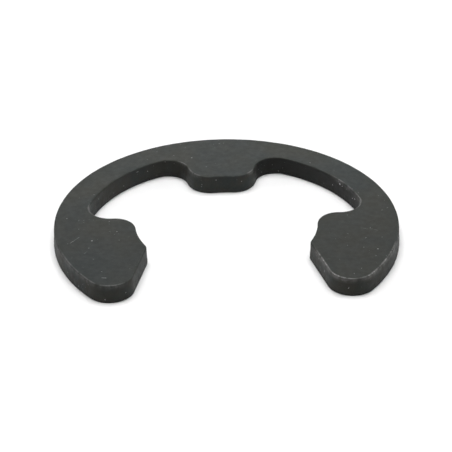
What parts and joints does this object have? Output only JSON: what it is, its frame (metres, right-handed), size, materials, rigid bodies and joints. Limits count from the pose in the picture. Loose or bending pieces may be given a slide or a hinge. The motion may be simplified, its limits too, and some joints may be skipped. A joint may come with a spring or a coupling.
{
  "type": "e-clip",
  "caption": "E-shaped spring steel retaining clip: an open ring whose inward tab and end lugs snap sideways into a shaft's groove.",
  "frame": {"origin": "the axis of the shaft that the clip grips, on the clip's lower face", "axes": "+Z along the shaft's axis, out of the face with the rolled edges; +Y from the throat towards the tab; +X towards the right lug with the throat towards the viewer"},
  "size_m": [0.0226, 0.0188, 0.0013],
  "materials": {
    "phosphated_steel": "black phosphate with a film of oil, dull, worn bright along the stamped edges"
  },
  "bodies": {
    "root": {"clip": "phosphated_steel"}
  },
  "joints": []
}
